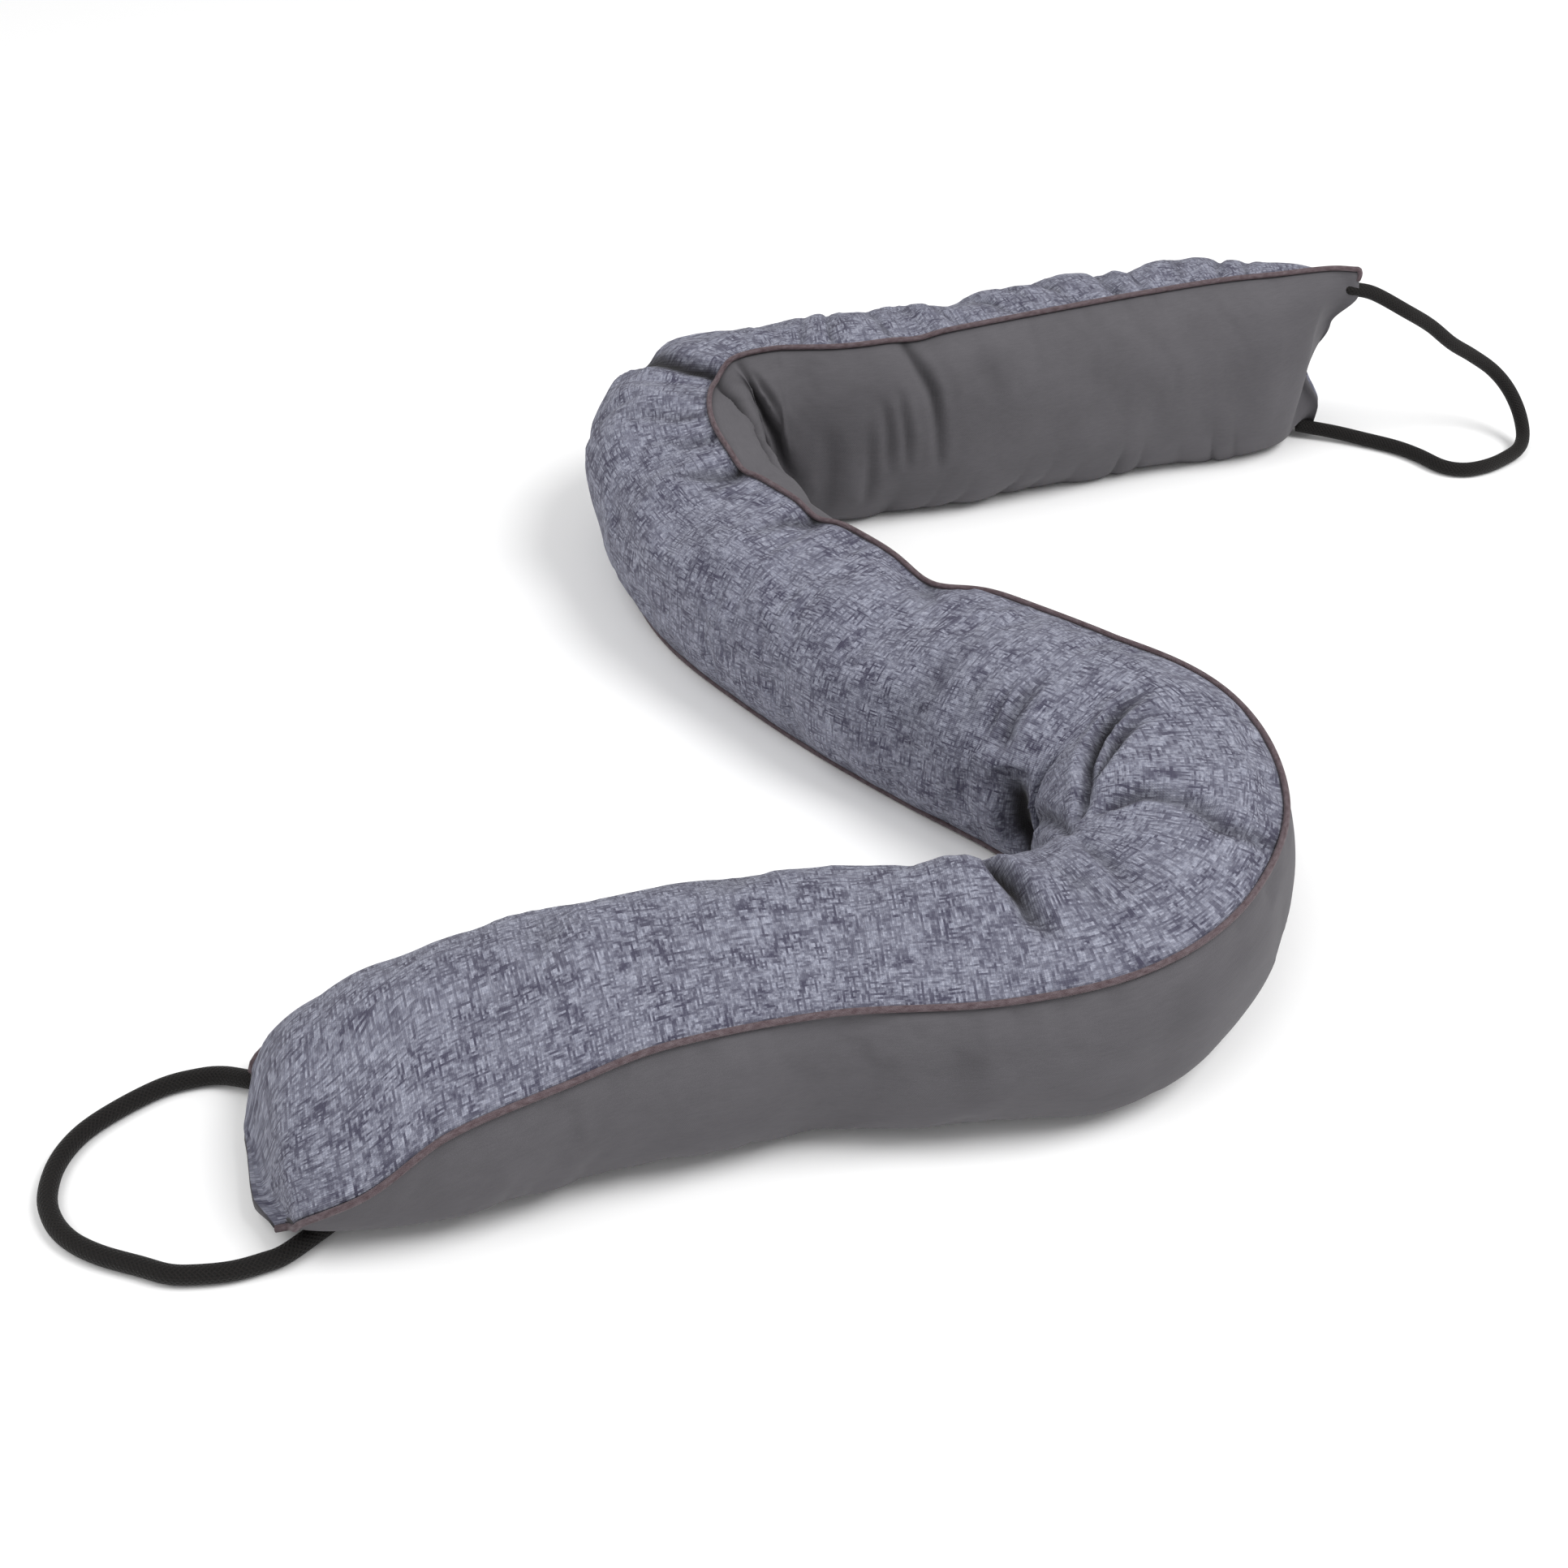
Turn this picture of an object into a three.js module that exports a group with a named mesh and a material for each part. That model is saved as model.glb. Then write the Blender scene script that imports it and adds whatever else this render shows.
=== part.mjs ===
// A stuffed fabric draught excluder, lying on the floor bent into a Z, with an elastic cord loop at each end.
// Two long strips of cloth, one patterned and one plain, are joined by two piped seams and filled.
// Millimetres, +Z up. The origin is on the floor, in the middle of the body's footprint.
import * as THREE from 'three';

// Driving sizes
const GAP = 0.3;
const STRIP_WIDTH = 120;
const EDGE_THICKNESS = 2.4;
const PIPING_DIAMETER = 2.6;
const PIPING_SIDES = 6;
const CORD_DIAMETER = 6;
const CORD_SIDES = 10;
const CORD_STEP = 12;

// The body's rings and points: the pitch of its rings, the points of a panel's cloth and of its parting,
// and the parts in which the way between two rows of the section table is measured out
const RING_PITCH = 7;
const PANEL_STEPS = 15;
const PARTING_STEPS = 4;
const ROW_PARTS = 40;

// The body's rounding: how square its outline is, how far it presses into the floor before it is laid flat,
// how far the seams stand out, over how many degrees, and how many degrees a slope is measured over
const SQUARENESS = 2.55;
const FLOOR_SINK = 3.5;
const SEAM_RIDGE = 2.2;
const SEAM_RIDGE_SPREAD = 9;
const SLOPE_DEGREES = 2;

// The inside of a bend: how much of its radius the cloth may take, how softly it is held back,
// and how many rings to each side its turn is measured over
const BEND_ROOM = 0.86;
const BEND_SOFTNESS = 6;
const TURN_REACH = 2;

// How the spacing of the puckers wanders, and over how many puckers
const PUCKER_WANDER = 1.3;
const PUCKER_WANDER_PERIOD = 2.7;

// The body as it lies, a row for each section, from the near left end to the far right end.
// x, y: the floor point under the section. left, right: how far it reaches to each side, seen walking along.
// tall: its height. waist: the height of its widest place. upper, lower: where the two seams lie around it,
// in degrees, from the right-hand side (0) over the top (90) to the left-hand side (180).
// full: how well it is filled, from 0 at a flat sewn end to 1.
const SECTIONS = [
  { x: -196, y: -222, left: 28, right: 29, tall: 18, waist: 9, upper: 0, lower: 182, full: 0.03 },
  { x: -188, y: -219, left: 38, right: 33, tall: 41, waist: 15, upper: 1, lower: 188, full: 0.62 },
  { x: -170, y: -215, left: 43, right: 42, tall: 52, waist: 21, upper: 17, lower: 198, full: 0.96 },
  { x: -146, y: -208, left: 43, right: 46, tall: 57, waist: 24, upper: 33, lower: 208, full: 1 },
  { x: -113, y: -199, left: 44, right: 43, tall: 61, waist: 27, upper: 37, lower: 218, full: 1 },
  { x: -79, y: -190, left: 44, right: 42, tall: 61, waist: 29, upper: 45, lower: 221, full: 1 },
  { x: -29, y: -180, left: 43, right: 39, tall: 61, waist: 29, upper: 46, lower: 222, full: 1 },
  { x: 21, y: -175, left: 44, right: 42, tall: 61, waist: 29, upper: 48, lower: 222, full: 1 },
  { x: 55, y: -168, left: 44, right: 40, tall: 63, waist: 30, upper: 48, lower: 221, full: 1 },
  { x: 79, y: -149, left: 42, right: 36, tall: 66, waist: 31, upper: 43, lower: 219, full: 1 },
  { x: 88, y: -116, left: 42, right: 41, tall: 68, waist: 32, upper: 38, lower: 221, full: 1 },
  { x: 82, y: -79, left: 42, right: 42, tall: 67, waist: 32, upper: 38, lower: 224, full: 1 },
  { x: 56, y: -53, left: 42, right: 40, tall: 65, waist: 31, upper: 40, lower: 227, full: 1 },
  { x: 26, y: -28, left: 42, right: 38, tall: 63, waist: 30, upper: 45, lower: 228, full: 1 },
  { x: -6, y: -1, left: 40, right: 34, tall: 62, waist: 30, upper: 56, lower: 229, full: 1 },
  { x: -36, y: 30, left: 39, right: 35, tall: 64, waist: 31, upper: 69, lower: 229, full: 1 },
  { x: -58, y: 58, left: 39, right: 36, tall: 66, waist: 32, upper: 79, lower: 229, full: 1 },
  { x: -70, y: 87, left: 40, right: 34, tall: 69, waist: 33, upper: 84, lower: 229, full: 1 },
  { x: -74, y: 113, left: 41, right: 29, tall: 73, waist: 36, upper: 82, lower: 229, full: 1 },
  { x: -68, y: 138, left: 44, right: 28, tall: 77, waist: 40, upper: 76, lower: 229, full: 1 },
  { x: -46, y: 150, left: 39, right: 30, tall: 80, waist: 42, upper: 72, lower: 229, full: 1 },
  { x: -13, y: 153, left: 35, right: 30, tall: 82, waist: 42, upper: 68, lower: 229, full: 1 },
  { x: 22, y: 161, left: 34, right: 30, tall: 83, waist: 42, upper: 70, lower: 230, full: 1 },
  { x: 62, y: 173, left: 34, right: 30, tall: 84, waist: 42, upper: 72, lower: 230, full: 1 },
  { x: 104, y: 188, left: 34, right: 30, tall: 85, waist: 42, upper: 71, lower: 230, full: 1 },
  { x: 142, y: 199, left: 32, right: 30, tall: 86, waist: 42, upper: 71, lower: 230, full: 1 },
  { x: 172, y: 203, left: 24, right: 28, tall: 85, waist: 42, upper: 75, lower: 230, full: 0.96 },
  { x: 192, y: 203, left: 14, right: 21, tall: 84, waist: 42, upper: 81, lower: 230, full: 0.78 },
  { x: 203, y: 200, left: 7, right: 9, tall: 83, waist: 42, upper: 88, lower: 230, full: 0.04 },
];

// Places where the gathered cloth draws the upper seam in. along: from the near end.
// deep, wide: how far, and over what half-length. DIP_SPREAD: over how many degrees around the body.
const SEAM_DIPS = [
  { along: 468, deep: 5, wide: 15 },
  { along: 524, deep: 3, wide: 8 },
  { along: 566, deep: 2.5, wide: 8 },
  { along: 629, deep: 3.5, wide: 8 },
  { along: 727, deep: 2, wide: 8 },
];
const DIP_SPREAD = 24;

// The outlines of the two flat sewn ends. across: from the upper seam (0) to the lower seam (1).
// reach: how far the edge stands out beyond the last section.
const NEAR_EDGE = [
  { across: 0, reach: 1 },
  { across: 0.2, reach: 5 },
  { across: 0.6, reach: 3 },
  { across: 1, reach: -5 },
];
const FAR_EDGE = [
  { across: 0, reach: 2 },
  { across: 0.3, reach: -3 },
  { across: 0.6, reach: -14 },
  { across: 0.84, reach: -3 },
  { across: 1, reach: -4 },
];

// Folds of each panel, as troughs from one place to another. along: from the near end.
// across: from the upper seam (0) to the lower seam (1). deep, wide: the trough's depth and half-width.
// A ridge has a negative depth.
const PATTERNED_FOLDS = [
  { along: 232, across: 0.5, alongEnd: 236, acrossEnd: 0.28, deep: 6, wide: 7 },
  { along: 236, across: 0.28, alongEnd: 242, acrossEnd: 0.16, deep: 4, wide: 7 },
  { along: 219, across: 0.46, alongEnd: 225, acrossEnd: 0.22, deep: -1.5, wide: 9 },
  { along: 365, across: 0.28, alongEnd: 341, acrossEnd: 0.44, deep: 5, wide: 7 },
  { along: 341, across: 0.44, alongEnd: 303, acrossEnd: 0.49, deep: 4, wide: 7 },
  { along: 302, across: 0.44, alongEnd: 313, acrossEnd: 0.33, deep: 3.5, wide: 7 },
  { along: 313, across: 0.33, alongEnd: 304, acrossEnd: 0.08, deep: 3, wide: 7 },
  { along: 328, across: 0.38, alongEnd: 328, acrossEnd: 0.15, deep: -2.5, wide: 11 },
  { along: 344, across: 0.74, alongEnd: 274, acrossEnd: 0.4, deep: 3.5, wide: 8 },
  { along: 380, across: 0.66, alongEnd: 371, acrossEnd: 0.84, deep: 7, wide: 10 },
  { along: 396, across: 0.36, alongEnd: 395, acrossEnd: 0.6, deep: 2, wide: 9 },
  { along: 426, across: 0.3, alongEnd: 430, acrossEnd: 0.66, deep: 1.6, wide: 10 },
  { along: 450, across: 0.26, alongEnd: 460, acrossEnd: 0.06, deep: 3, wide: 9 },
  { along: 520, across: 0.2, alongEnd: 524, acrossEnd: 0.04, deep: 2.5, wide: 8 },
  { along: 641, across: 0.3, alongEnd: 633, acrossEnd: 0.04, deep: 5, wide: 8 },
  { along: 606, across: 0.1, alongEnd: 612, acrossEnd: 0.34, deep: 1.8, wide: 9 },
];
const PLAIN_FOLDS = [
  { along: 728, across: 0.04, alongEnd: 738, acrossEnd: 0.35, deep: 4, wide: 7 },
  { along: 720, across: 0.06, alongEnd: 726, acrossEnd: 0.34, deep: -1.5, wide: 8 },
  { along: 711, across: 0.3, alongEnd: 711, acrossEnd: 0.48, deep: 2.5, wide: 7 },
  { along: 649, across: 0.1, alongEnd: 676, acrossEnd: 0.38, deep: 5, wide: 7 },
  { along: 632, across: 0.06, alongEnd: 656, acrossEnd: 0.4, deep: 5, wide: 7 },
  { along: 692, across: 0.3, alongEnd: 694, acrossEnd: 0.5, deep: 2, wide: 8 },
];

// Rows of puckers, where the long seams draw the cloth in. from, until: where the row runs along the body.
// across, spread: where it lies across the panel and how far it fades out there.
const PATTERNED_PUCKERS = [
  { from: 655, until: 905, across: 0.14, spread: 0.18, pitch: 18, deep: 3.2 },
  { from: 380, until: 560, across: 0.96, spread: 0.14, pitch: 21, deep: 2 },
];
const PLAIN_PUCKERS = [
  { from: 60, until: 330, across: 0.62, spread: 0.16, pitch: 19, deep: 1.6 },
  { from: 700, until: 880, across: 0.7, spread: 0.14, pitch: 23, deep: 1.4 },
];

// The middle lines of the two elastic loops, from the upper seam's corner to the lower seam's corner.
const NEAR_LOOP = [
  [-173.2, -247.2, 3.4], [-182.5, -256.5, 3.2], [-188.5, -259.7, 3.2], [-197, -262.7, 3.2], [-207, -264, 3.2],
  [-215, -263.8, 3.2], [-224, -261, 3.2], [-236.5, -257, 3.2], [-246, -252, 3.2], [-253, -245, 3.2],
  [-257.3, -235.5, 3.2], [-257.6, -223, 3.2], [-253.3, -211.5, 3.2], [-244.6, -201.5, 3.2],
  [-232.5, -192, 3.2], [-222, -188, 3.2], [-214, -187.8, 3.9], [-204.1, -191.5, 5.9],
];
const FAR_LOOP = [
  [204.1, 197.4, 76.6], [216, 200.3, 73.5], [232, 201.2, 64.5], [244.5, 204.5, 56], [256.5, 207, 46],
  [268, 210.5, 38], [279, 212, 30], [287, 210, 22], [292, 204, 14], [293.5, 196, 7], [290.5, 188.5, 4],
  [283, 181.5, 3.2], [272.5, 174.5, 3.2], [262, 171.5, 3.2], [253, 174.2, 3.2], [244.5, 183.5, 3.2],
  [236, 190.5, 3.2], [223, 197, 3.4], [211, 201.5, 4.2], [200.7, 204.2, 4.9],
];

// A smooth value between the middle two of four equally spaced values.
function smooth(before, from, to, after, share) {
  const slopeFrom = (to - before) / 2;
  const slopeTo = (after - from) / 2;
  const rise = to - from;
  const square = 3 * rise - 2 * slopeFrom - slopeTo;
  const cube = slopeFrom + slopeTo - 2 * rise;
  return from + share * (slopeFrom + share * (square + share * cube));
}

// The section at a place between the table's rows, such as 2.5.
function sectionAt(place) {
  const last = SECTIONS.length - 1;
  const first = Math.min(Math.floor(place), last - 1);
  const rows = [-1, 0, 1, 2].map((step) => SECTIONS[THREE.MathUtils.clamp(first + step, 0, last)]);
  const section = {};
  for (const name of Object.keys(SECTIONS[0])) {
    section[name] = smooth(...rows.map((row) => row[name]), place - first);
  }
  return section;
}

// The body's rings: sections at an even pitch, each with its place along the body and the way it faces.
function evenRings() {
  const fineSteps = ROW_PARTS * (SECTIONS.length - 1);
  const trail = [{ place: 0, along: 0 }];
  for (let i = 1; i <= fineSteps; i += 1) {
    const place = i / ROW_PARTS;
    const here = sectionAt(place);
    const back = sectionAt(place - 1 / ROW_PARTS);
    trail.push({ place, along: trail[i - 1].along + Math.hypot(here.x - back.x, here.y - back.y) });
  }
  const length = trail[fineSteps].along;
  const count = Math.round(length / RING_PITCH);
  const rings = [];
  for (let i = 0; i <= count; i += 1) {
    const along = (length * i) / count;
    const next = Math.max(trail.findIndex((step) => step.along >= along), 1);
    const share = (along - trail[next - 1].along) / (trail[next].along - trail[next - 1].along);
    const place = trail[next - 1].place + share / ROW_PARTS;
    const ahead = sectionAt(Math.min(place + 1 / ROW_PARTS, SECTIONS.length - 1));
    const behind = sectionAt(Math.max(place - 1 / ROW_PARTS, 0));
    const heading = Math.atan2(ahead.y - behind.y, ahead.x - behind.x);
    rings.push({ ...sectionAt(place), along, heading, nearEnd: i < count / 2 });
  }
  rings.forEach((ring, i) => {
    const back = rings[Math.max(i - TURN_REACH, 0)];
    const front = rings[Math.min(i + TURN_REACH, count)];
    ring.turn = (front.heading - back.heading) / (front.along - back.along);
  });
  return rings;
}

// An offset to one side of a ring, held back on the inside of a bend, where there is less room for it.
function squeezed(ring, offset) {
  if (ring.turn * offset >= 0) return offset;
  const room = BEND_ROOM / Math.abs(ring.turn);
  return offset / (1 + (Math.abs(offset) / room) ** BEND_SOFTNESS) ** (1 / BEND_SOFTNESS);
}

// How far the upper seam is drawn in at a place along the body.
function seamDip(along) {
  const share = (dip) => Math.exp(-(((along - dip.along) / dip.wide) ** 2));
  return SEAM_DIPS.reduce((sum, dip) => sum + dip.deep * share(dip), 0);
}

// A point of a ring's plump outline, as its offset to the right-hand side and its height.
function outlinePoint(ring, degrees) {
  const angle = THREE.MathUtils.degToRad(degrees);
  const c = Math.cos(angle);
  const s = Math.sin(angle);
  const power = 2 / SQUARENESS;
  const side = c > 0 ? ring.right : ring.left;
  const rise = s > 0 ? ring.tall - ring.waist : ring.waist + FLOOR_SINK;
  const apart = [ring.upper, ring.lower].map((seam) => Math.abs(((degrees - seam + 540) % 360) - 180));
  const dip = seamDip(ring.along) * Math.exp(-((apart[0] / DIP_SPREAD) ** 2));
  const ridge = SEAM_RIDGE * Math.exp(-Math.min(...apart) / SEAM_RIDGE_SPREAD) - dip;
  return new THREE.Vector2(
    squeezed(ring, side * Math.sign(c) * Math.abs(c) ** power + ridge * c),
    Math.max(ring.waist + rise * Math.sign(s) * Math.abs(s) ** power + ridge * s, 0),
  );
}

// How far a fold draws the cloth in at a place of its panel.
function foldDepth(fold, along, across) {
  const run = new THREE.Vector2(fold.alongEnd - fold.along, (fold.acrossEnd - fold.across) * STRIP_WIDTH);
  const here = new THREE.Vector2(along - fold.along, (across - fold.across) * STRIP_WIDTH);
  const share = THREE.MathUtils.clamp(here.dot(run) / run.lengthSq(), 0, 1);
  const distance = here.addScaledVector(run, -share).length();
  return fold.deep * Math.exp(-((distance / fold.wide) ** 2));
}

// How far a row of puckers draws the cloth in. Their spacing wanders a little.
function puckerDepth(row, along, across) {
  const ends = THREE.MathUtils.smoothstep(along, row.from, row.from + row.pitch)
    * (1 - THREE.MathUtils.smoothstep(along, row.until - row.pitch, row.until));
  const turns = (2 * Math.PI * along) / row.pitch;
  const wave = (1 + Math.cos(turns + PUCKER_WANDER * Math.sin(turns / PUCKER_WANDER_PERIOD))) / 2;
  return row.deep * ends * wave * Math.exp(-(((across - row.across) / row.spread) ** 2));
}

// How far a sewn end's edge stands out at a place across it.
function edgeReach(edge, across) {
  const next = Math.max(edge.findIndex((row) => row.across >= across), 1);
  const share = THREE.MathUtils.smoothstep(across, edge[next - 1].across, edge[next].across);
  return THREE.MathUtils.lerp(edge[next - 1].reach, edge[next].reach, share);
}

// A ring's offset and height, pushed out along the body by its end's reach, as a point of the whole.
function placed(ring, flat, across) {
  const reach = ring.nearEnd ? -edgeReach(NEAR_EDGE, across) : edgeReach(FAR_EDGE, across);
  const push = (1 - ring.full) * reach;
  const c = Math.cos(ring.heading);
  const s = Math.sin(ring.heading);
  const x = ring.x + flat.x * s + push * c;
  const y = ring.y - flat.x * c + push * s;
  return new THREE.Vector3(x, y, Math.max(flat.y, 0));
}

// One panel's closed outline in a ring: its cloth from one seam to the other, and back along the parting.
// A flat sewn end draws the cloth down to the parting.
function panelRing(ring, panel) {
  const [from, until] = panel.isUpper ? [ring.upper, ring.lower] : [ring.upper, ring.lower - 360];
  const start = outlinePoint(ring, from);
  const parting = outlinePoint(ring, until).sub(start);
  const outward = new THREE.Vector2(parting.y, -parting.x).normalize().multiplyScalar(panel.isUpper ? 1 : -1);
  const points = [];
  for (let i = 0; i <= PANEL_STEPS; i += 1) {
    const across = i / PANEL_STEPS;
    const degrees = THREE.MathUtils.lerp(from, until, across);
    const cloth = outlinePoint(ring, degrees).sub(start);
    const ahead = outlinePoint(ring, degrees + SLOPE_DEGREES);
    const slope = ahead.sub(outlinePoint(ring, degrees - SLOPE_DEGREES));
    const inward = new THREE.Vector2(-slope.y, slope.x).normalize();
    const folds = panel.folds.reduce((sum, fold) => sum + foldDepth(fold, ring.along, across), 0);
    const puckers = panel.puckers.reduce((sum, row) => sum + puckerDepth(row, ring.along, across), 0);
    const inner = Math.sqrt(Math.sin(Math.PI * (i % PANEL_STEPS === 0 ? 0 : across)));
    cloth.addScaledVector(inward, (folds + puckers) * inner);
    const plump = Math.max(cloth.dot(outward), 0);
    const share = cloth.dot(parting) / parting.lengthSq();
    const flatShare = THREE.MathUtils.lerp(across, share, ring.full);
    const thick = GAP / 2 + Math.max(plump * ring.full, inner * EDGE_THICKNESS);
    const flat = start.clone().addScaledVector(parting, flatShare).addScaledVector(outward, thick);
    points.push(placed(ring, flat, across));
  }
  for (let i = PARTING_STEPS - 1; i > 0; i -= 1) {
    const across = i / PARTING_STEPS;
    const flat = start.clone().addScaledVector(parting, across).addScaledVector(outward, GAP / 2);
    points.push(placed(ring, flat, across));
  }
  return panel.isUpper ? points : points.reverse();
}

// The triangles that close a panel's ring: strips between its cloth side and its parting side.
function panelCap() {
  const size = PANEL_STEPS + PARTING_STEPS;
  const triangles = [];
  let cloth = 0;
  let parting = 0;
  while (cloth < PANEL_STEPS - 1 || parting < PARTING_STEPS - 1) {
    const partingPoint = (size - parting) % size;
    const clothIsNext = (cloth + 1) / PANEL_STEPS <= (parting + 1) / PARTING_STEPS;
    if (parting === PARTING_STEPS - 1 || (clothIsNext && cloth < PANEL_STEPS - 1)) {
      if (cloth > 0 || parting > 0) triangles.push([cloth, cloth + 1, partingPoint]);
      cloth += 1;
    } else {
      triangles.push([cloth, size - parting - 1, partingPoint]);
      parting += 1;
    }
  }
  triangles.push([cloth, PANEL_STEPS, size - parting]);
  return triangles;
}

// The same triangles for a ring whose points run the other way.
function turnedCap(triangles) {
  const last = PANEL_STEPS + PARTING_STEPS - 1;
  return triangles.map((triangle) => triangle.map((i) => last - i).reverse());
}

// A closed solid through rings of equally many points, with the given triangles over each end. The quads
// are halved one way or, mirrored, the other, so that two solids can share a parting.
function loft(rings, cap, mirrored) {
  const size = rings[0].length;
  const index = [];
  for (let r = 0; r < rings.length - 1; r += 1) {
    for (let i = 0; i < size; i += 1) {
      const a = r * size + i;
      const b = r * size + ((i + 1) % size);
      if (mirrored) index.push(a, a + size, b + size, a, b + size, b);
      else index.push(a, a + size, b, b, a + size, b + size);
    }
  }
  const last = (rings.length - 1) * size;
  for (const [a, b, c] of cap) {
    index.push(a, b, c);
    index.push(last + a, last + c, last + b);
  }
  const geometry = new THREE.BufferGeometry();
  const positions = rings.flat().flatMap((point) => point.toArray());
  geometry.setAttribute('position', new THREE.Float32BufferAttribute(positions, 3));
  geometry.setIndex(index);
  geometry.computeVertexNormals();
  return geometry;
}

// One ring of a seam's piping, round, seated against the seam's edge and clear of the floor.
function pipingRing(ring, isUpper) {
  const seam = outlinePoint(ring, isUpper ? ring.upper : ring.lower);
  const radius = PIPING_DIAMETER / 2;
  const reach = radius + GAP;
  const seat = seam.clone().sub(new THREE.Vector2(0, ring.waist)).setLength(reach);
  if (seam.y + seat.y < reach) {
    seat.y = reach - seam.y;
    seat.x = Math.sign(seat.x) * Math.sqrt(Math.max(reach ** 2 - seat.y ** 2, (reach / 2) ** 2));
  }
  const middle = seam.add(seat);
  const points = [];
  for (let i = 0; i < PIPING_SIDES; i += 1) {
    const angle = (2 * Math.PI * i) / PIPING_SIDES;
    const flat = new THREE.Vector2(Math.cos(angle), Math.sin(angle)).multiplyScalar(radius).add(middle);
    points.push(placed(ring, flat, isUpper ? 0 : 1));
  }
  return points;
}

// A round cord along a middle line.
function cord(route) {
  const line = new THREE.CatmullRomCurve3(route.map((point) => new THREE.Vector3(...point)));
  const section = new THREE.Shape();
  for (let i = 0; i < CORD_SIDES; i += 1) {
    const angle = (2 * Math.PI * i) / CORD_SIDES;
    const x = (CORD_DIAMETER / 2) * Math.cos(angle);
    const y = (CORD_DIAMETER / 2) * Math.sin(angle);
    if (i === 0) section.moveTo(x, y);
    else section.lineTo(x, y);
  }
  const steps = Math.round(line.getLength() / CORD_STEP);
  return new THREE.ExtrudeGeometry(section, { steps, extrudePath: line, curveSegments: 1 });
}

const body = evenRings();
const patterned = { isUpper: true, folds: PATTERNED_FOLDS, puckers: PATTERNED_PUCKERS };
const plain = { isUpper: false, folds: PLAIN_FOLDS, puckers: PLAIN_PUCKERS };
const upperCap = panelCap();
const lowerCap = turnedCap(upperCap);
const pipingCap = Array.from({ length: PIPING_SIDES - 2 }, (_, i) => [0, i + 1, i + 2]);

const group = new THREE.Group();
function add(name, geometry, color, roughness) {
  const material = new THREE.MeshStandardMaterial({ color, roughness, metalness: 0 });
  const mesh = new THREE.Mesh(geometry, material);
  mesh.name = name;
  group.add(mesh);
}
add('patterned_panel', loft(body.map((ring) => panelRing(ring, patterned)), upperCap, false), 0x9696a8, 0.9);
add('plain_panel', loft(body.map((ring) => panelRing(ring, plain)), lowerCap, true), 0x58585d, 0.9);
add('piping_upper', loft(body.map((ring) => pipingRing(ring, true)), pipingCap, false), 0x6e5f64, 0.8);
add('piping_lower', loft(body.map((ring) => pipingRing(ring, false)), pipingCap, false), 0x6e5f64, 0.8);

// The body's footprint is centred on the origin, and the loops go with it.
const footprint = new THREE.Box3().setFromObject(group);
const middle = footprint.getCenter(new THREE.Vector3());
add('loop_near', cord(NEAR_LOOP), 0x1e1a18, 0.7);
add('loop_far', cord(FAR_LOOP), 0x1e1a18, 0.7);
group.children.forEach((mesh) => mesh.geometry.translate(-middle.x, -middle.y, 0));

export default group;
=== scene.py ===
"""A stuffed fabric draught excluder, lying on a pale floor bent into a Z, seen at the photograph's angle.

Lengths in the tables are in millimetres, measured from the same floor point as the model's section table.
"""
import math

import bpy
import numpy as np
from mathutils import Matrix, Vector


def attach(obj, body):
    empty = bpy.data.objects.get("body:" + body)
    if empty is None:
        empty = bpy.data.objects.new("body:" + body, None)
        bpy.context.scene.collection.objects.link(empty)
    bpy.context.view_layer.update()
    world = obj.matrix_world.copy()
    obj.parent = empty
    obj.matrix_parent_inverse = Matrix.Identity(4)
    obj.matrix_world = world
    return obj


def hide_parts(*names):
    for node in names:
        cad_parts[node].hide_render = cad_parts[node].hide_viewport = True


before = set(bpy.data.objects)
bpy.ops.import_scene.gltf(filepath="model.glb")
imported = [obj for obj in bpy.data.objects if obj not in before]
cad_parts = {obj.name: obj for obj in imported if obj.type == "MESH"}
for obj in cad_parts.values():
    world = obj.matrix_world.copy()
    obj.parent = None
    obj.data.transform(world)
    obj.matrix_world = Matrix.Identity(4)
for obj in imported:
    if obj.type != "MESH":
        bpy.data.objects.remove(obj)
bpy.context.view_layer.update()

MM = 0.001
# The floor point under the middle of the body's footprint, from the tables' own floor point.
MIDDLE = (0.843, -14.344)

# Camera: the photograph's pinhole, in the tables' frame.
CAMERA_AT = (-38.0, -652.0, 513.0)
CAMERA_DOWN = 40.0
IMAGE_SIDE = 1932
FOCAL_PIXELS = 2677.0
SENSOR = 36.0


def at_home(point):
    """A point of the tables' frame, in metres in the object's frame."""
    return Vector(((point[0] - MIDDLE[0]) * MM, (point[1] - MIDDLE[1]) * MM, point[2] * MM))


# Camera
camera_data = bpy.data.cameras.new("camera")
camera = bpy.data.objects.new("camera", camera_data)
bpy.context.scene.collection.objects.link(camera)
camera.location = at_home(CAMERA_AT)
camera.rotation_euler = (math.radians(90 - CAMERA_DOWN), 0, 0)
camera_data.sensor_width = SENSOR
camera_data.lens = SENSOR * FOCAL_PIXELS / IMAGE_SIDE
camera_data.clip_start = 0.01
camera_data.clip_end = 20
bpy.context.scene.camera = camera
bpy.context.scene.view_settings.view_transform = "Standard"


# Materials
def new_material(name):
    material = bpy.data.materials.new(name)
    material.use_nodes = True
    nodes = material.node_tree.nodes
    return material, nodes, material.node_tree.links, nodes["Principled BSDF"]


def ramp(nodes, links, value, stops):
    """A colour, or a grey level, for each value."""
    node = nodes.new("ShaderNodeValToRGB")
    points = node.color_ramp.elements
    while len(points) < len(stops):
        points.new(0.5)
    for point, (position, color) in zip(points, stops):
        point.position = position
        point.color = (color, color, color, 1) if isinstance(color, (int, float)) else (*color, 1)
    links.new(value, node.inputs[0])
    return node.outputs[0]


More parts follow.
